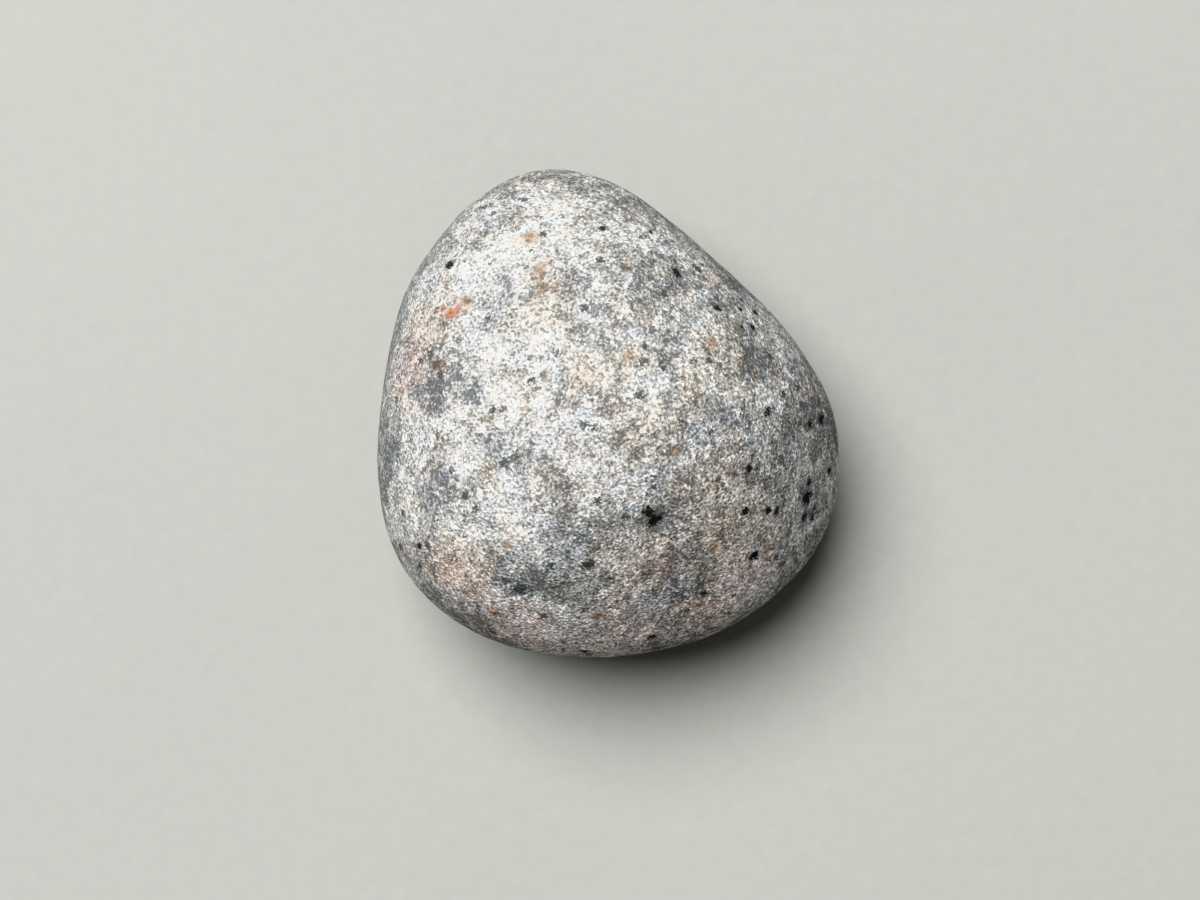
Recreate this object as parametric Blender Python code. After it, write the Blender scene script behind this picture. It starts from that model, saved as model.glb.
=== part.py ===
"""A river pebble: one water-worn piece of fine-grained grey granite.

The stone lies on its flatter side. X runs across its narrow way, Y runs from its broad end to its
blunt tip, and Z is up. The origin is on the surface it rests on, under the middle of the stone.
Units are metres.
"""

import math

import bmesh
import bpy
import numpy as np
from mathutils import Vector, noise

MM = 0.001

# Driving dimensions of the whole stone.
WIDTH = 42.0 * MM
LENGTH = 44.0 * MM
THICKNESS = 30.5 * MM

# The plan outline: the radius at every 15 degrees, counted anticlockwise from +X. It is a rounded
# triangle with a blunt tip at +Y, a long straight side facing +X+Y and a broad base at -Y.
OUTLINE_RADII = MM * np.array(
    (
        20.4, 18.6, 17.3, 16.6, 16.9, 18.3,
        20.7, 22.6, 22.8, 22.1, 21.6, 20.9,
        21.0, 21.9, 23.1, 23.5, 23.1, 22.4,
        21.9, 21.8, 22.1, 22.3, 22.5, 21.7,
    )
)

# The side profile is a superellipse above the waist and another below it. A power of 2 is an
# ellipse, and more is boxier. The crown's edge is tightest towards -X+Y and gentlest across from
# there. The heights are those of the round form, before any wear.
CROWN_HEIGHT = 17.7 * MM
CROWN_POWER = 1.95
CROWN_POWER_SWING = 0.13
TIGHTEST_EDGE_AT = math.radians(127)
BELLY_HEIGHT = 14.0 * MM
BELLY_POWER = 2.3

# The top of the crown and the bottom of the belly stand off the middle by this much.
CROWN_OFFSET = MM * np.array((0.0, -0.7))
BELLY_OFFSET = MM * np.array((-0.9, -0.6))

# The widest level isn't flat: it rises and falls twice round the stone.
WAIST_WAVE = 0.95 * MM
WAIST_WAVE_AT = math.radians(80)

# Broad flats that wear has left: which way each one faces, and how deep it goes into the round form.
WORN_FLATS = (
    ((-0.35, 0.33, 1.0), 1.3 * MM),
    ((-0.10, 0.92, 1.0), 0.7 * MM),
    ((1.48, -0.42, 1.0), 1.4 * MM),
    ((0.38, -0.85, 1.0), 1.4 * MM),
    ((-0.80, -0.25, -1.0), 0.5 * MM),
    ((0.25, 0.85, -1.0), 0.7 * MM),
)
FLAT_EDGE = 1.0 * MM
# Wear narrows the waist, and it is brought back to the outline at this many places round the stone.
OUTLINE_CHECKS = 48

# Low swells over the crown and the belly.
SWELL_HEIGHT = 0.30 * MM
SWELL_ACROSS = 8.0 * MM

# The face that the stone rests on is worn flat this far up from the lowest point of the round form.
RESTING_WEAR = 0.75 * MM

# Pits that dark grains have left in the crown: (x, y, width) in millimetres.
PITS = (
    (4.1, -9.3, 1.5),
    (17.5, -7.6, 1.3),
    (18.4, -8.7, 1.0),
    (17.6, -9.4, 1.0),
    (18.8, -0.6, 1.2),
    (19.6, -5.1, 1.0),
    (12.7, -12.6, 1.2),
    (12.4, -8.8, 1.0),
    (14.8, -8.8, 1.1),
    (12.8, -4.9, 0.9),
    (14.4, 0.1, 1.0),
    (13.0, 7.9, 1.1),
    (9.7, 9.5, 1.1),
    (6.1, 12.6, 1.1),
    (-0.6, 16.5, 1.0),
    (-8.1, -15.8, 1.2),
    (-1.9, -13.6, 1.3),
    (-17.0, -11.9, 1.0),
)
PIT_DEPTH_SHARE = 0.28

# The ball that the stone is shaped from has this many faces along each edge of its cube.
BALL_FACES = 24
PIT_BALL_SUBDIVISIONS = 3
SHARP_ANGLE = math.radians(30)

GRANITE_GREY = (0.40, 0.39, 0.37, 1.0)
GRANITE_ROUGHNESS = 0.82


def clear_scene():
    for obj in list(bpy.data.objects):
        bpy.data.objects.remove(obj, do_unlink=True)


def collection_named(name):
    collection = bpy.data.collections.new(name)
    bpy.context.scene.collection.children.link(collection)
    return collection


def granite():
    material = bpy.data.materials.new("granite")
    material.use_nodes = True
    surface = material.node_tree.nodes["Principled BSDF"]
    surface.inputs["Base Color"].default_value = GRANITE_GREY
    surface.inputs["Roughness"].default_value = GRANITE_ROUGHNESS
    surface.inputs["Metallic"].default_value = 0.0
    return material


def outline_radius(angle):
    """The plan radius at each angle, from a cubic through the four nearest stations."""
    count = len(OUTLINE_RADII)
    station = angle / math.tau % 1 * count
    first = np.floor(station).astype(int)
    t = station - first
    before, start, end, after = (OUTLINE_RADII[(first + step) % count] for step in (-1, 0, 1, 2))
    slope_in = (end - before) / 2
    slope_out = (after - start) / 2
    return (
        (2 * t**3 - 3 * t**2 + 1) * start
        + (t**3 - 2 * t**2 + t) * slope_in
        + (3 * t**2 - 2 * t**3) * end
        + (t**3 - t**2) * slope_out
    )


def round_form(directions):
    """Where each direction from the stone's middle meets its plain round form.

    Also gives how far up or down the profile each point is: 0 at the waist, 1 at the top or bottom.
    """
    angle = np.arctan2(directions[:, 1], directions[:, 0])
    crown = directions[:, 2] >= 0
    crown_power = CROWN_POWER + CROWN_POWER_SWING * np.cos(angle - TIGHTEST_EDGE_AT)
    power = np.where(crown, crown_power, BELLY_POWER)
    level = np.abs(directions[:, 2])
    out = np.hypot(directions[:, 0], directions[:, 1])
    reach = (out**power + level**power) ** (1 / power)
    out = out / reach
    level = level / reach
    offset = np.where(crown[:, None], CROWN_OFFSET, BELLY_OFFSET) * level[:, None] ** 2
    radius = outline_radius(angle) * out
    x = radius * np.cos(angle) + offset[:, 0]
    y = radius * np.sin(angle) + offset[:, 1]
    waist = WAIST_WAVE * np.cos(2 * (angle - WAIST_WAVE_AT)) * (1 - level) * out
    z = np.where(crown, CROWN_HEIGHT, -BELLY_HEIGHT) * level + waist
    return np.column_stack((x, y, z)), level


def wear_flats(points):
    """Presses each worn flat into the round form, with a soft edge."""
    for facing, depth in WORN_FLATS:
        normal = np.array(facing) / np.linalg.norm(facing)
        along = points @ normal
        past = np.logaddexp(0, (along - along.max() + depth) / FLAT_EDGE) * FLAT_EDGE
        points -= np.outer(past, normal)


def keep_outline(points):
    """Widens the worn form so that its widest level meets the outline again all round."""
    angle = np.arctan2(points[:, 1], points[:, 0])
    share = np.hypot(points[:, 0], points[:, 1]) / outline_radius(angle)
    place = np.round(angle / math.tau * OUTLINE_CHECKS).astype(int) % OUTLINE_CHECKS
    widest = np.zeros(OUTLINE_CHECKS)
    np.maximum.at(widest, place, share)
    places = np.arange(OUTLINE_CHECKS) * math.tau / OUTLINE_CHECKS
    points[:, :2] /= np.interp(angle, places, widest, period=math.tau)[:, None]


def raise_swells(points, level):
    """Lifts and lowers the crown and the belly a little, and leaves the outline."""
    height = np.array([noise.noise(Vector(point) / SWELL_ACROSS) for point in points])
    points[:, 2] += np.sign(points[:, 2]) * SWELL_HEIGHT * height * level


def fit_to_size(points):
    """Scales and centres the points so that the stone has its driving dimensions."""
    lowest = points.min(axis=0)
    highest = points.max(axis=0)
    size = np.array((WIDTH, LENGTH, THICKNESS + RESTING_WEAR))
    base = np.array((0, 0, size[2] / 2 - RESTING_WEAR))
    return (points - (lowest + highest) / 2) * size / (highest - lowest) + base


def shape_ball(bm):
    """A ball of even square faces, drawn out to the stone's form."""
    bmesh.ops.create_cube(bm, size=2)
    bmesh.ops.subdivide_edges(bm, edges=bm.edges[:], cuts=BALL_FACES - 1, use_grid_fill=True)
    corners = np.array([vert.co for vert in bm.verts])
    evened = np.tan(corners * math.pi / 4)
    directions = evened / np.linalg.norm(evened, axis=1)[:, None]
    points, level = round_form(directions)
    wear_flats(points)
    raise_swells(points, level)
    keep_outline(points)
    for vert, point in zip(bm.verts, fit_to_size(points)):
        vert.co = point


def cut_resting_face(bm):
    """Takes off what lies below the surface that the stone rests on, and closes it with one flat face."""
    cut = bmesh.ops.bisect_plane(
        bm,
        geom=bm.verts[:] + bm.edges[:] + bm.faces[:],
        plane_co=(0, 0, 0),
        plane_no=(0, 0, -1),
        clear_outer=True,
    )
    rim = [item for item in cut["geom_cut"] if isinstance(item, bmesh.types.BMEdge)]
    bmesh.ops.holes_fill(bm, edges=rim, sides=0)
    bmesh.ops.recalc_face_normals(bm, faces=bm.faces[:])


def add_stone(collection):
    mesh = bpy.data.meshes.new("pebble")
    bm = bmesh.new()
    shape_ball(bm)
    cut_resting_face(bm)
    bm.to_mesh(mesh)
    bm.free()
    mesh.shade_smooth()
    mesh.set_sharp_from_angle(angle=SHARP_ANGLE)
    mesh.materials.append(granite())
    stone = bpy.data.objects.new("pebble", mesh)
    collection.objects.link(stone)
    bpy.context.view_layer.update()
    return stone


def add_pit_cutters(collection, stone):
    """One mesh of small balls, each standing mostly out of the crown where a pit goes."""
    bm = bmesh.new()
    for x, y, width in PITS:
        start = Vector((x * MM, y * MM, 2 * THICKNESS))
        _, place, normal, _ = stone.ray_cast(start, Vector((0, 0, -1)))
        depth = width * MM * PIT_DEPTH_SHARE
        radius = ((width * MM / 2) ** 2 + depth**2) / (2 * depth)
        ball = bmesh.ops.create_icosphere(bm, subdivisions=PIT_BALL_SUBDIVISIONS, radius=radius)
        bmesh.ops.translate(bm, verts=ball["verts"], vec=place + normal * (radius - depth))
    mesh = bpy.data.meshes.new("pit_cutters")
    bm.to_mesh(mesh)
    bm.free()
    cutters = bpy.data.objects.new("pit_cutters", mesh)
    cutters.hide_render = True
    cutters.display_type = "WIRE"
    collection.objects.link(cutters)
    return cutters


def cut_pits(stone, cutters):
    pits = stone.modifiers.new("pits", "BOOLEAN")
    pits.operation = "DIFFERENCE"
    pits.object = cutters


clear_scene()
pebble = add_stone(collection_named("river_pebble"))
cut_pits(pebble, add_pit_cutters(collection_named("cutters"), pebble))
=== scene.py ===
"""A river pebble of fine-grained grey granite, lying on a pale floor and seen from above.

Units are metres, and millimetres where a comment says so.
"""

import math

import bpy
import numpy as np
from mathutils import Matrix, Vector


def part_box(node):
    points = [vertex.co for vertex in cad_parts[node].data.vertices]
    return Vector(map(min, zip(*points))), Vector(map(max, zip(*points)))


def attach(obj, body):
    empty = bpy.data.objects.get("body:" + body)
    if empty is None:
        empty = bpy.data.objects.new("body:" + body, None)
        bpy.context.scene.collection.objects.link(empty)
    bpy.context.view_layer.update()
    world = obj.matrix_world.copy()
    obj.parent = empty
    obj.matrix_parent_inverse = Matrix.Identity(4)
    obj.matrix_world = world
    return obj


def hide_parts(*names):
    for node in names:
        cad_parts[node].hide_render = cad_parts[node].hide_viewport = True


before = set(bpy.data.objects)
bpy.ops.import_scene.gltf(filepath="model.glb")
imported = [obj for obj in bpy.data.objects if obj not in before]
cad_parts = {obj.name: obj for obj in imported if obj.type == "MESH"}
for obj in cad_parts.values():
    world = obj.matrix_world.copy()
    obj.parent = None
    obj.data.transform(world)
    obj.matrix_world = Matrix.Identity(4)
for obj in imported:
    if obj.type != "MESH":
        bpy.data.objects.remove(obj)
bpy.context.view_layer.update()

# --- Camera -------------------------------------------------------------------------------------
# It looks straight down on the stone's domed face from a hand's span away, with +Y at the top of its
# view. It stands a little off the stone's middle, which puts the stone above and to the right of the
# view's middle.
MM = 0.001
# The level where the stone is widest. Places on the domed face are measured at this level.
WAIST_LEVEL = 13.7 * MM
CAMERA_AWAY = 210.2 * MM
CAMERA_PLACE = Vector((-0.84 * MM, -3.27 * MM, WAIST_LEVEL + CAMERA_AWAY))
# The lens and its sensor, in millimetres as they are marked.
LENS = 70
SENSOR_ACROSS = 36
NEAREST_SEEN = 10 * MM

camera = bpy.data.objects.new("camera", bpy.data.cameras.new("camera"))
camera.data.lens = LENS
camera.data.sensor_width = SENSOR_ACROSS
camera.data.clip_start = NEAREST_SEEN
camera.location = CAMERA_PLACE
bpy.context.scene.collection.objects.link(camera)
bpy.context.scene.camera = camera

# --- Stone --------------------------------------------------------------------------------------
# One piece of fine-grained granite, rounded and smoothed by a river. Its skin is smooth to the hand
# but not polished: low swells, a faint pocked grain, and small pits where dark mica and hornblende
# grains have dropped out.
low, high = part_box("pebble")
middle = (low + high) / 2

# The skin is a ball of even square faces, drawn onto the CAD solid, divided, drawn on again and
# smoothed. The ball starts as a cube well outside the solid.
MERGE_WITHIN = 0.001 * MM
START_ACROSS = 2 * max(high - low)
START_CUTS = 15
SKIN_LEVELS = 3
SMOOTHING_STEPS = 6
SMOOTHING_SHARE = 0.5
# Low swells and small pocks are then worn into it, this deep from their highest to their lowest.
SWELL_ACROSS = 5.0 * MM
SWELL_DEPTH = 0.10 * MM
POCK_ACROSS = 1.4 * MM
POCK_DEPTH = 0.08 * MM
# Most of that relief goes in, and this share of it stands out.
RELIEF_OUT = 0.15


def only(piece):
    """Selects this piece alone, ready for an operator."""
    bpy.ops.object.select_all(action="DESELECT")
    piece.select_set(True)
    bpy.context.view_layer.objects.active = piece


def finish_with(piece, kind, **settings):
    """Adds a modifier with these settings and applies it."""
    only(piece)
    modifier = piece.modifiers.new(kind.lower(), kind)
    for name, value in settings.items():
        setattr(modifier, name, value)
    bpy.ops.object.modifier_apply(modifier=modifier.name)


only(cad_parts["pebble"])
bpy.ops.object.duplicate()
form = bpy.context.active_object
form.name = "form"
bpy.ops.object.mode_set(mode="EDIT")
bpy.ops.mesh.select_all(action="SELECT")
bpy.ops.mesh.remove_doubles(threshold=MERGE_WITHIN)
bpy.ops.object.mode_set(mode="OBJECT")

bpy.ops.object.select_all(action="DESELECT")
bpy.ops.mesh.primitive_cube_add(size=START_ACROSS, location=middle)
stone = bpy.context.active_object
stone.name = "stone"
bpy.ops.object.mode_set(mode="EDIT")
bpy.ops.mesh.select_all(action="SELECT")
bpy.ops.mesh.subdivide(number_cuts=START_CUTS)
bpy.ops.transform.tosphere(value=1, center_override=middle)
bpy.ops.object.mode_set(mode="OBJECT")
bpy.ops.object.transform_apply(location=True, rotation=True, scale=True)
finish_with(stone, "SHRINKWRAP", target=form, wrap_method="TARGET_PROJECT")
finish_with(stone, "SUBSURF", levels=SKIN_LEVELS, render_levels=SKIN_LEVELS)
finish_with(stone, "SHRINKWRAP", target=form, wrap_method="TARGET_PROJECT")
finish_with(stone, "SMOOTH", iterations=SMOOTHING_STEPS, factor=SMOOTHING_SHARE)
bpy.ops.object.select_all(action="DESELECT")
bpy.data.objects.remove(form)

for name, across, depth in (("swells", SWELL_ACROSS, SWELL_DEPTH), ("pocks", POCK_ACROSS, POCK_DEPTH)):
    hollows = bpy.data.textures.new(name, "CLOUDS")
    hollows.noise_scale = across
    finish_with(stone, "DISPLACE", texture=hollows, strength=depth, mid_level=1 - RELIEF_OUT)
only(stone)
bpy.ops.object.shade_smooth()

# Marks that stand out on the domed face: (x, y, width), in millimetres. Each is placed where the camera
# sees it at the waist's level, across and up from the stone's middle.
MARKS = {
    # Crisp black grains of mica and hornblende.
    "black_grains": (
        (4.1, -9.6, 1.3), (3.6, -8.9, 1.0), (17.7, -7.6, 1.4), (17.6, -9.3, 1.1), (18.5, -8.4, 0.8),
        (18.3, -9.3, 0.8), (18.0, -6.2, 0.8), (14.3, -8.7, 0.7), (15.0, -8.8, 0.8), (12.3, -8.8, 0.7),
        (12.6, -4.9, 0.6), (19.8, -5.1, 0.7), (19.1, -0.6, 0.9), (18.1, -0.9, 0.9), (14.3, 0.1, 0.9),
        (12.9, -12.8, 1.0), (3.8, -20.1, 0.7), (9.7, 9.6, 0.8), (13.2, 9.1, 0.7), (12.9, 7.8, 0.7),
        (11.8, 9.4, 0.5), (12.0, 7.8, 0.5), (6.1, 12.7, 0.9), (3.7, 16.4, 0.5), (-17.1, -11.9, 0.6),
        (-14.4, 13.4, 0.8), (17.3, -5.4, 0.4), (-0.6, 16.7, 0.5), (-2.3, -21.4, 0.6), (8.5, -16.2, 0.5),
    ),
    # Duller dark grains, which show grey between the light ones.
    "grey_grains": (
        (-6.0, 16.2, 0.9), (-0.6, 16.7, 0.9), (-0.8, 13.8, 0.9), (-7.6, 19.3, 0.9), (7.9, 13.1, 1.1),
        (5.0, 10.8, 0.8), (9.0, 4.8, 0.8), (4.9, 4.1, 0.7), (3.1, 4.7, 0.9), (3.2, 6.1, 0.7),
        (2.7, 1.7, 1.1), (14.5, 5.2, 0.9), (17.0, 2.4, 0.8), (15.7, 1.7, 0.8), (3.9, -6.6, 0.8),
        (8.5, -16.2, 1.0), (6.8, -16.6, 0.9), (7.0, -17.7, 0.8), (-16.4, -11.9, 0.9), (-18.8, -12.0, 0.8),
        (-1.9, -13.6, 1.5), (-8.1, -15.9, 1.7), (-5.3, -13.7, 0.9), (-9.4, -15.0, 0.9), (-10.5, -19.7, 0.9),
        (-5.9, -18.2, 0.9), (-2.3, -17.7, 0.8), (-2.3, -21.4, 0.9), (-17.1, -13.7, 0.8), (-7.0, 3.0, 0.9),
        (-10.5, 0.3, 0.9), (-9.5, 0.4, 0.8), (-16.1, 5.3, 0.9), (-17.0, 4.8, 0.8), (-15.3, 3.5, 0.8),
        (-2.3, -1.0, 0.8), (-1.4, -1.3, 0.7), (-9.5, -4.4, 0.9), (-13.0, -7.4, 0.9), (-12.0, -8.5, 0.8),
        (-18.6, -9.0, 0.9), (-1.0, -7.8, 0.8), (-10.9, 8.6, 0.9), (-2.3, 9.5, 0.9), (1.5, -9.3, 0.9),
    ),
    # Clouds of white feldspar.
    "white_clouds": (
        (-5.3, 18.7, 4.4), (-8.6, 14.2, 4.6), (-12.1, 12.4, 4.4), (-5.9, 8.7, 3.0), (-10.9, 5.0, 3.0),
        (-10.0, 1.4, 2.6), (-12.8, 0.3, 3.0), (-6.4, 5.9, 2.6), (-4.0, 5.3, 2.2), (-1.6, 3.7, 2.6),
        (-16.7, -4.7, 2.8), (-8.7, -7.2, 3.4), (-13.4, -3.8, 2.6), (-18.5, -5.9, 2.4), (7.5, 3.5, 2.4),
        (3.9, 0.7, 2.6), (14.1, 1.4, 2.2), (-14.1, -10.5, 2.0), (-7.6, -10.5, 2.0), (-10.3, -16.2, 2.4),
        (1.4, -7.0, 3.0), (-1.5, -7.5, 2.6), (2.0, 17.0, 3.0), (-5.6, 15.6, 3.0),
    ),
    # Clouds of blue-grey quartz and mica.
    "grey_clouds": (
        (-4.6, 13.0, 2.4), (-10.3, 10.4, 4.2), (-16.1, 2.6, 3.0), (-19.4, -3.3, 3.0), (13.2, 5.0, 3.4),
        (-12.7, 1.6, 2.2), (-15.0, -6.3, 3.8), (-4.1, -10.7, 3.4), (5.2, -15.0, 5.0), (-8.0, -15.4, 3.6),
        (4.3, -9.4, 3.0), (11.0, 11.5, 3.6),
    ),
    # Clouds of cream feldspar.
    "cream_clouds": (
        (-15.9, 8.8, 4.0), (-1.9, 3.7, 3.0), (-6.0, 8.8, 3.4), (-5.8, 11.0, 3.4), (3.5, -1.5, 4.0),
        (9.5, -7.0, 5.0), (10.6, 5.0, 4.0), (1.5, 5.0, 3.0), (7.9, 2.3, 2.0), (11.0, 4.2, 2.0),
        (-11.0, -6.0, 1.8), (11.1, -5.3, 2.0), (10.2, -11.8, 2.0), (14.5, -11.5, 1.8), (3.2, 9.1, 1.8),
        (-13.5, -13.5, 5.0), (10.5, -9.5, 6.0), (2.5, -13.0, 5.0),
    ),
    # Clouds of pink feldspar, and low on the face painted warm reflected light that tints and lightens it.
    "pink_feldspar_and_painted_bounce": (
        (-17.7, 4.6, 6.0), (-14.0, -14.6, 5.5), (-8.5, -19.5, 6.5), (1.5, -19.8, 7.5), (8.5, -18.5, 6.5),
        (-2.4, 3.4, 1.2), (9.2, 12.2, 2.2), (5.2, -13.5, 4.0), (12.0, -14.5, 5.5),
    ),
    # Orange rust, where iron has weathered out of a grain.
    "rust_spots": (
        (-14.4, 9.0, 1.3), (-13.8, 9.3, 1.1), (-15.0, 9.5, 0.8), (-10.5, -17.9, 0.9),
    ),
    # Fainter brown stains.
    "brown_stains": (
        (-12.9, 10.1, 1.6), (-7.0, 15.9, 1.8), (-6.3, 12.9, 1.6), (-6.0, 11.4, 1.3), (9.3, 6.4, 1.2),
        (7.0, 12.6, 0.9), (1.4, 13.3, 1.0), (1.6, 5.1, 1.0), (-9.2, -11.8, 1.1), (14.6, -7.2, 0.9),
        (12.9, -3.8, 0.9), (6.0, -3.5, 1.1), (9.4, -12.0, 1.1), (14.1, -12.4, 1.0), (-15.6, 4.4, 1.2),
        (-1.0, -18.2, 1.2), (-5.8, 3.4, 0.9),
    ),
}
MARK_SEED = 7
# Painted shade darkens the sides, and stops where the skin faces up by more than this, from 0 for upright
# to 1 for level.
SIDE_SHADE_ENDS_ABOVE = 0.55

skin_points = np.array([vert.co for vert in stone.data.vertices])
hidden_points = skin_points[skin_points[:, 2] < WAIST_LEVEL]
chance = np.random.default_rng(MARK_SEED)


def seen_point(x, y):
    """The point of the stone that the camera sees at this place, in millimetres, of the waist's level."""
    aim = Vector((x * MM, y * MM, WAIST_LEVEL)) - CAMERA_PLACE
    _, point, _, _ = stone.ray_cast(CAMERA_PLACE, aim.normalized())
    return point


def keep_on_skin(name, values):
    """Keeps one number for each point of the skin, for the material to read."""
    stone.data.attributes.new(name, "FLOAT", "POINT").data.foreach_set("value", values)


# Each kind of mark is kept as a closeness: 1 at a mark's middle, falling to 0 at a mark's width away.
# The hidden half gets as many marks, of the same sizes.
for name, marks in MARKS.items():
    points = [seen_point(x, y) for x, y, _ in marks]
    points += list(hidden_points[chance.integers(len(hidden_points), size=len(marks))])
    widths = 2 * [width for _, _, width in marks]
    closeness = np.zeros(len(skin_points))
    for point, width in zip(points, widths):
        away = np.linalg.norm(skin_points - np.array(point), axis=1) / (width * MM)
        closeness = np.maximum(closeness, 1 - away)
    keep_on_skin(name, closeness)

# Painted shade on the sides and the underside, where they turn from the lamp: 0 on the crown, and 1
# from where the skin stands upright.
upward = np.array([vert.normal.z for vert in stone.data.vertices])
keep_on_skin("painted_side_shade", np.clip(1 - upward / SIDE_SHADE_ENDS_ABOVE, 0, 1))

# How far across each of the granite's patterns is, in millimetres, how far its crystals' edges waver,
# and how far apart its dark specks lie.
GRAIN_ACROSS = 0.24
CRYSTAL_ACROSS = 0.42
CRYSTAL_WAVER = 0.35
THREAD_ACROSS = 0.38
MOTTLE_ACROSS = 1.2
CLOUD_ACROSS = 5.0
TINT_ACROSS = 2.2
ROUGH_ACROSS = 1.2
SPECKS_APART = 1.5
# How strongly each pattern lightens or darkens the stone, where 1 is from black to white.
MIDDLE_TONE = 0.395
GRAIN_CONTRAST = 1.95
THREAD_CONTRAST = 0.22
CRYSTAL_CONTRAST = 0.32
MOTTLE_CONTRAST = 1.40
CLOUD_CONTRAST = 0.85
WHITE_CLOUD_LIFT = 0.32
GREY_CLOUD_DROP = -0.26
# How much the pink clouds lighten the stone: pink feldspar, and painted warm reflected light low on the
# face.
PINK_AND_BOUNCE_LIFT = 0.15
# How much painted shade darkens the sides and the underside.
PAINTED_SIDE_SHADE_DROP = -0.21
# The clouds lighten the stone no further than this.
LIGHTEST_CLOUD = 0.62
CLOUD_LIMIT_SOFTNESS = 0.25
# How bright a pattern is on the whole: most of them, the grain once it is squared, and the threads.
PATTERN_MIDDLE = 0.5
SQUARED_MIDDLE = 0.25
THREAD_MIDDLE = 0.88
# Each tone's colour from dark to light, in quartz and mica, which are cool, and in feldspar, which is
# warm. White is much the same in both.
COOL_TONES = ("#515455", "#727678", "#96999b", "#b9bbbb", "#f8f9f7")
WARM_TONES = ("#56534d", "#78736b", "#9b968d", "#bfbab0", "#f8f6f1")
INNER_TONES_AT = (0.25, 0.5, 0.75)
# How much the clouds and the crystals warm the stone, and where it is all cool and all warm.
CREAM_WARMTH = 0.4
GREY_WARMTH = -0.12
CRYSTAL_WARMTH = 0.25
COOL_UP_TO = 0.42
WARM_FROM = 0.92
# Pink, partly pink feldspar and partly painted warm reflected light low on the face: its colour, how much
# the tint spreads it, where it starts and is full, and its most.
PINK_FELDSPAR_AND_BOUNCE = "#fbe7e3"
TINT_IN_PINK = 0.5
PINK_FROM = 0.22
PINK_FULL_AT = 1.1
PINK_MOST = 0.78
# Brown stains and orange rust: their colours, and where their flecks start and are full.
BROWN_STAIN = "#cba683"
BROWN_FROM = 0.2
BROWN_FULL_AT = 0.5
RUST = "#f79a6c"
RUST_FROM = 0.25
RUST_FULL_AT = 0.42
# Black grains: their colour, how much the grain and the crystals break up their edges, and where they
# start and are full.
BLACK_MICA = "#17191a"
GRAIN_IN_BLACK = 1.5
CRYSTAL_IN_BLACK = 0.35
BLACK_FROM = 1.42
BLACK_FULL_AT = 1.52
# Grey grains: the same, and their most.
GREY_MICA = "#3c403f"
GRAIN_IN_GREY = -0.8
GREY_FROM = 0.02
GREY_FULL_AT = 0.30
GREY_MOST = 0.95
# Specks of the same grey: how much chance sets their sizes and the grain breaks up their edges. They
# start and are full by the distance from their middles, so their limits fall.
CHANCE_IN_SPECKS = 0.35
GRAIN_IN_SPECKS = 0.6
SPECKS_FROM = 0.60
SPECKS_FULL_AT = 0.50
SPECKS_MOST = 0.7
# Quartz grains are a little glossier than the rest, which gives small glints at a low light.
QUARTZ_ROUGHNESS = 0.55
FELDSPAR_ROUGHNESS = 0.95
GRANITE_IOR = 1.54
# The skin's fine relief, from its lowest to its highest.
ROUGH_RELIEF = 0.30 * MM
GRAIN_RELIEF = 0.15 * MM
# The patterns are in millimetres, and turned so that none lines up with the stone's faces.
METRES_TO_MM = (1000, 1000, 1000)
PATTERN_TURN = (0.6, 0.5, 0.3)


def linear(code):
    """An sRGB hex colour as linear RGBA."""
    parts = [int(code[i : i + 2], 16) / 255 for i in (1, 3, 5)]
    return [p / 12.92 if p <= 0.04045 else ((p + 0.055) / 1.055) ** 2.4 for p in parts] + [1]


def add(tree, kind, inputs, take=0, **settings):
    """Adds one node with its settings and links, and gives the output that is taken from it."""
    node = tree.nodes.new("ShaderNode" + kind)
    for name, value in settings.items():
        setattr(node, name, value)
    for key, value in inputs.items():
        if isinstance(value, bpy.types.NodeSocket):
            tree.links.new(value, node.inputs[key])
        else:
            node.inputs[key].default_value = value
    return node.outputs[take]


# Granite, worn by sand and water to a matt skin: white feldspar, grey quartz and black mica in grains
# of about 0.3 mm, gathered in clouds a few millimetres across. It gives the eye a salt-and-pepper
# grain, blue-grey where mica is thick, cream or pink where feldspar is, and flecked with rust.
granite = bpy.data.materials.new("water_worn_granite")
granite.use_nodes = True
tree = granite.node_tree
surface = tree.nodes["Principled BSDF"]
coordinates = add(tree, "TexCoord", {}, "Object")
in_mm = add(tree, "Mapping", {"Vector": coordinates, "Rotation": PATTERN_TURN, "Scale": METRES_TO_MM})

# The patterns. The crystals have random colours and wavering edges, and the threads are thin light
# seams between the grains.
grain = add(
    tree, "TexNoise", {"Vector": in_mm, "Scale": 1 / GRAIN_ACROSS, "Detail": 1.5, "Roughness": 0.7}
)
rough = add(tree, "TexNoise", {"Vector": in_mm, "Scale": 1 / ROUGH_ACROSS, "Detail": 2, "Roughness": 0.6})
waver = add(tree, "TexNoise", {"Vector": in_mm, "Scale": 2 / CRYSTAL_ACROSS, "Detail": 1}, "Color")
bent = add(tree, "VectorMath", {0: waver, 1: 3 * (CRYSTAL_WAVER,), 2: in_mm}, operation="MULTIPLY_ADD")
crystals = add(tree, "TexVoronoi", {"Vector": bent, "Scale": 1 / CRYSTAL_ACROSS}, "Color")
crystal = add(tree, "SeparateColor", {"Color": crystals}, "Red")
crystal_tint = add(tree, "SeparateColor", {"Color": crystals}, "Green")
threads = add(
    tree,
    "TexNoise",
    {"Vector": in_mm, "Scale": 1 / THREAD_ACROSS, "Detail": 1, "Roughness": 0.6, "Offset": 1, "Gain": 1},
    noise_type="RIDGED_MULTIFRACTAL",
)
mottle = add(
    tree, "TexNoise", {"Vector": bent, "Scale": 1 / MOTTLE_ACROSS, "Detail": 2, "Roughness": 0.65}
)
clouds = add(
    tree, "TexNoise", {"Vector": in_mm, "Scale": 1 / CLOUD_ACROSS, "Detail": 1, "Roughness": 0.6}
)
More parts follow.
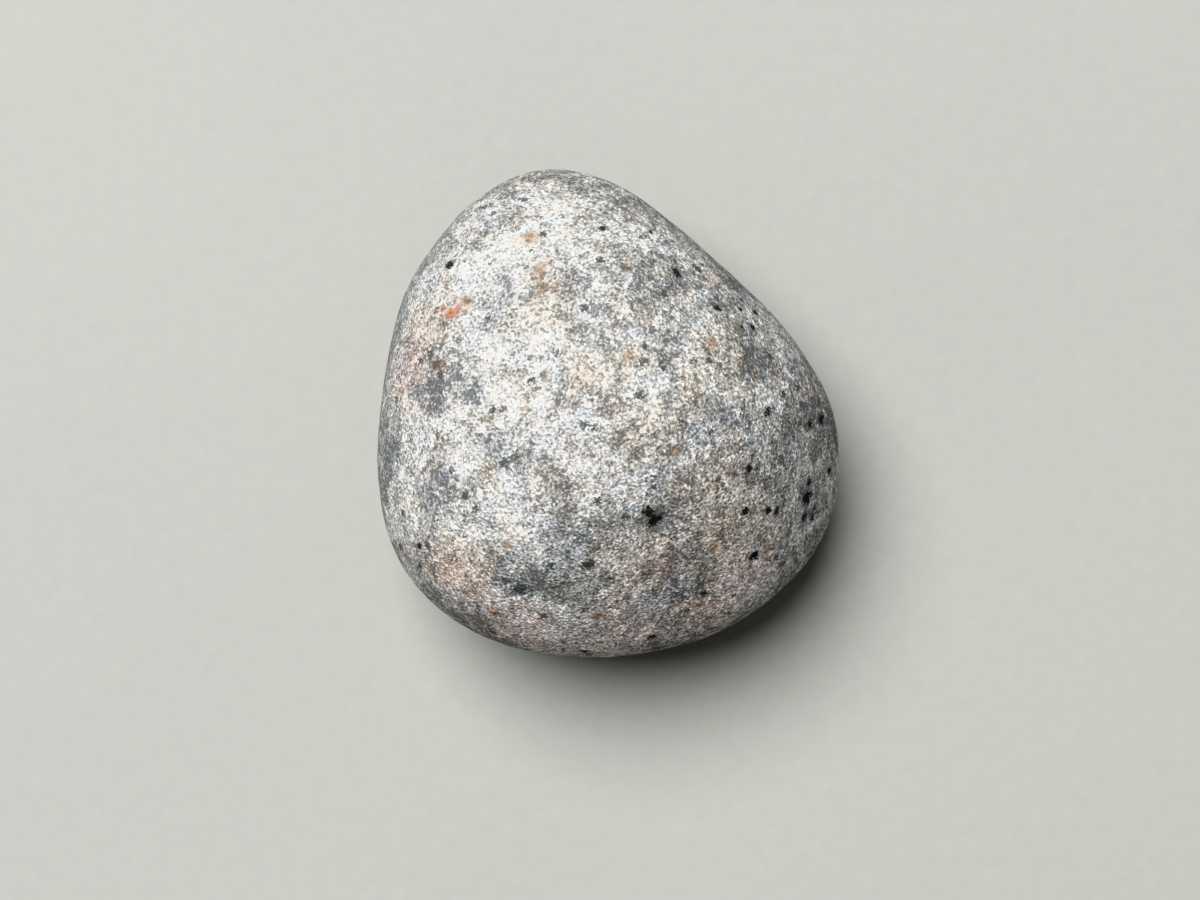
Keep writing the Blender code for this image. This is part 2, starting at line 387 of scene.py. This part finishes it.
tint = add(tree, "TexNoise", {"Vector": in_mm, "Scale": 1 / TINT_ACROSS, "Detail": 2, "Roughness": 0.6})
kept = {name: add(tree, "Attribute", {}, "Fac", attribute_name=name) for name in (*MARKS, "painted_side_shade")}

# How light the stone is: 0.5 is its middle grey. Every pattern is added round its own middle. The
# clouds come first and stop short of white, so that the grain still shows in the lightest of them.
level = MIDDLE_TONE - (MOTTLE_CONTRAST + CLOUD_CONTRAST) * PATTERN_MIDDLE
for pattern, contrast in (
    (mottle, MOTTLE_CONTRAST),
    (clouds, CLOUD_CONTRAST),
    (kept["white_clouds"], WHITE_CLOUD_LIFT),
    (kept["grey_clouds"], GREY_CLOUD_DROP),
    # Pink feldspar, and painted warm reflected light low on the face.
    (kept["pink_feldspar_and_painted_bounce"], PINK_AND_BOUNCE_LIFT),
    # Painted shade on the sides and the underside.
    (kept["painted_side_shade"], PAINTED_SIDE_SHADE_DROP),
):
    level = add(tree, "Math", {0: pattern, 1: contrast, 2: level}, operation="MULTIPLY_ADD")
level = add(tree, "Math", {0: level, 1: LIGHTEST_CLOUD, 2: CLOUD_LIMIT_SOFTNESS}, operation="SMOOTH_MIN")
grain_middle = (
    GRAIN_CONTRAST * SQUARED_MIDDLE
    + CRYSTAL_CONTRAST * PATTERN_MIDDLE
    + THREAD_CONTRAST * THREAD_MIDDLE
)
level = add(tree, "Math", {0: level, 1: grain_middle}, operation="SUBTRACT")
# Squared, the grain has few bright grains among many dull ones.
bright_grains = add(tree, "Math", {0: grain, 1: grain}, operation="MULTIPLY")
for pattern, contrast in (
    (bright_grains, GRAIN_CONTRAST),
    (crystal, CRYSTAL_CONTRAST),
    (threads, THREAD_CONTRAST),
):
    level = add(tree, "Math", {0: pattern, 1: contrast, 2: level}, operation="MULTIPLY_ADD")

cool_tones = add(tree, "ValToRGB", {"Fac": level})
warm_tones = add(tree, "ValToRGB", {"Fac": level})
for tones, codes in ((cool_tones, COOL_TONES), (warm_tones, WARM_TONES)):
    stops = tones.node.color_ramp.elements
    stops[0].color = linear(codes[0])
    stops[1].color = linear(codes[-1])
    for step, code in zip(INNER_TONES_AT, codes[1:-1]):
        stops.new(step).color = linear(code)

warmth = tint
for pattern, share in (
    (kept["cream_clouds"], CREAM_WARMTH),
    (kept["grey_clouds"], GREY_WARMTH),
    (crystal_tint, CRYSTAL_WARMTH),
):
    warmth = add(tree, "Math", {0: pattern, 1: share, 2: warmth}, operation="MULTIPLY_ADD")
warmth = add(tree, "MapRange", {"Value": warmth, "From Min": COOL_UP_TO, "From Max": WARM_FROM})
colour = add(
    tree, "Mix", {"Factor": warmth, "A": cool_tones, "B": warm_tones}, "Result", data_type="RGBA"
)

# Each stain tints the stone under it. Pink lies in soft clouds, partly pink feldspar and partly painted
# warm reflected light low on the face. Brown and rust take to the grains, some more than others, so they
# show as fine flecks.
pink = add(tree, "Math", {0: tint, 1: TINT_IN_PINK, 2: kept["pink_feldspar_and_painted_bounce"]}, operation="MULTIPLY_ADD")
brown = add(tree, "Math", {0: grain, 1: kept["brown_stains"]}, operation="MULTIPLY")
rust = add(tree, "Math", {0: grain, 1: kept["rust_spots"]}, operation="MULTIPLY")
for stain, start, full, most, code in (
    (pink, PINK_FROM, PINK_FULL_AT, PINK_MOST, PINK_FELDSPAR_AND_BOUNCE),
    (brown, BROWN_FROM, BROWN_FULL_AT, 1, BROWN_STAIN),
    (rust, RUST_FROM, RUST_FULL_AT, 1, RUST),
):
    strength = add(tree, "MapRange", {"Value": stain, "From Min": start, "From Max": full, "To Max": most})
    colour = add(
        tree,
        "Mix",
        {"Factor": strength, "A": colour, "B": linear(code)},
        "Result",
        data_type="RGBA",
        blend_type="MULTIPLY",
    )

# Dark grains break up at their edges against the light ones round them. Small specks lie all over, each
# of a size drawn by chance.
black = kept["black_grains"]
for pattern, share in ((grain, GRAIN_IN_BLACK), (crystal, CRYSTAL_IN_BLACK)):
    black = add(tree, "Math", {0: pattern, 1: share, 2: black}, operation="MULTIPLY_ADD")
black = add(tree, "MapRange", {"Value": black, "From Min": BLACK_FROM, "From Max": BLACK_FULL_AT})
grey = add(tree, "Math", {0: grain, 1: GRAIN_IN_GREY, 2: kept["grey_grains"]}, operation="MULTIPLY_ADD")
grey = add(
    tree, "MapRange", {"Value": grey, "From Min": GREY_FROM, "From Max": GREY_FULL_AT, "To Max": GREY_MOST}
)
specks = add(tree, "TexVoronoi", {"Vector": bent, "Scale": 1 / SPECKS_APART}, "Distance")
drawn = add(tree, "SeparateColor", {"Color": specks.node.outputs["Color"]}, "Red")
for pattern, share in ((drawn, CHANCE_IN_SPECKS), (grain, GRAIN_IN_SPECKS)):
    specks = add(tree, "Math", {0: pattern, 1: share, 2: specks}, operation="MULTIPLY_ADD")
specks = add(
    tree,
    "MapRange",
    {"Value": specks, "From Min": SPECKS_FROM, "From Max": SPECKS_FULL_AT, "To Max": SPECKS_MOST},
)
dull = add(tree, "Math", {0: grey, 1: specks}, operation="MAXIMUM")
for dark, code in ((dull, GREY_MICA), (black, BLACK_MICA)):
    colour = add(
        tree, "Mix", {"Factor": dark, "A": colour, "B": linear(code)}, "Result", data_type="RGBA"
    )
tree.links.new(colour, surface.inputs["Base Color"])

gloss = add(
    tree, "MapRange", {"Value": crystal_tint, "To Min": QUARTZ_ROUGHNESS, "To Max": FELDSPAR_ROUGHNESS}
)
tree.links.new(gloss, surface.inputs["Roughness"])
surface.inputs["IOR"].default_value = GRANITE_IOR
# The relief is a height in metres, and black grains lie a little below the rest.
relief = add(tree, "Math", {0: rough, 1: ROUGH_RELIEF}, operation="MULTIPLY")
for pattern, height in ((grain, GRAIN_RELIEF), (black, -GRAIN_RELIEF)):
    relief = add(tree, "Math", {0: pattern, 1: height, 2: relief}, operation="MULTIPLY_ADD")
bump = add(tree, "Bump", {"Height": relief, "Distance": 1.0, "Strength": 1.0}, "Normal")
tree.links.new(bump, surface.inputs["Normal"])
stone.data.materials.clear()
stone.data.materials.append(granite)

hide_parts("pebble")
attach(stone, "root")

# --- Floor --------------------------------------------------------------------------------------
# A plain sheet of matt pale grey board, rolled from paper pulp and dried flat. It lies level, and the
# stone rests on it by its own weight.
FLOOR_ACROSS = 3.0

bpy.ops.object.select_all(action="DESELECT")
bpy.ops.mesh.primitive_plane_add(size=FLOOR_ACROSS, location=(0, 0, 0))
floor = bpy.context.active_object
floor.name = "floor"

# How far across the board's patterns are, in millimetres. Its real fibres are too fine to show, so
# they are drawn as coarse as this.
FIBRE_ACROSS = 1.5
PATCH_ACROSS = 60
FIBRE_RELIEF = 0.02 * MM
# The board's two greys, and where the sum of its patterns is all the one and all the other.
DARKER_GREY = "#949590"
LIGHTER_GREY = "#9a9b95"
DARKER_UP_TO = 0.6
LIGHTER_FROM = 1.4
BOARD_ROUGHNESS = 0.9

# Pressed paper board, printed matt: an even grey with a faint cloud and a faint nap.
board = bpy.data.materials.new("matt_paper_board")
board.use_nodes = True
tree = board.node_tree
surface = tree.nodes["Principled BSDF"]
coordinates = add(tree, "TexCoord", {}, "Object")
in_mm = add(tree, "Mapping", {"Vector": coordinates, "Scale": METRES_TO_MM})
fibres = add(tree, "TexNoise", {"Vector": in_mm, "Scale": 1 / FIBRE_ACROSS, "Detail": 2})
patches = add(tree, "TexNoise", {"Vector": in_mm, "Scale": 1 / PATCH_ACROSS, "Detail": 1})
both = add(tree, "Math", {0: fibres, 1: patches}, operation="ADD")
lighter = add(tree, "MapRange", {"Value": both, "From Min": DARKER_UP_TO, "From Max": LIGHTER_FROM})
colour = add(
    tree,
    "Mix",
    {"Factor": lighter, "A": linear(DARKER_GREY), "B": linear(LIGHTER_GREY)},
    "Result",
    data_type="RGBA",
)
tree.links.new(colour, surface.inputs["Base Color"])
surface.inputs["Roughness"].default_value = BOARD_ROUGHNESS
nap = add(tree, "Math", {0: fibres, 1: FIBRE_RELIEF}, operation="MULTIPLY")
bump = add(tree, "Bump", {"Height": nap, "Distance": 1.0, "Strength": 1.0}, "Normal")
tree.links.new(bump, surface.inputs["Normal"])
floor.data.materials.append(board)

# --- Light --------------------------------------------------------------------------------------
# One large soft round lamp, high at the upper left of the camera's view, and an even pale sky that
# fills the shadows. The lamp stands at an angle round from +X and an angle down from straight above.
KEY_ROUND = math.radians(127)
KEY_DOWN = math.radians(28)
KEY_AWAY = 1.5
KEY_ACROSS = 1.05
KEY_WATTS = 51.5
SKY_COLOUR = "#fbfcff"
SKY_STRENGTH = 0.215

key_direction = Vector(
    (
        math.sin(KEY_DOWN) * math.cos(KEY_ROUND),
        math.sin(KEY_DOWN) * math.sin(KEY_ROUND),
        math.cos(KEY_DOWN),
    )
)
key = bpy.data.objects.new("key_light", bpy.data.lights.new("key_light", "AREA"))
key.data.shape = "DISK"
key.data.size = KEY_ACROSS
key.data.energy = KEY_WATTS
key.location = key_direction * KEY_AWAY
key.rotation_mode = "QUATERNION"
key.rotation_quaternion = key_direction.to_track_quat("Z", "Y")
bpy.context.scene.collection.objects.link(key)

world = bpy.data.worlds.new("sky")
world.use_nodes = True
sky = world.node_tree.nodes["Background"]
sky.inputs["Color"].default_value = linear(SKY_COLOUR)
sky.inputs["Strength"].default_value = SKY_STRENGTH
bpy.context.scene.world = world
bpy.context.scene.view_settings.view_transform = "Khronos PBR Neutral"
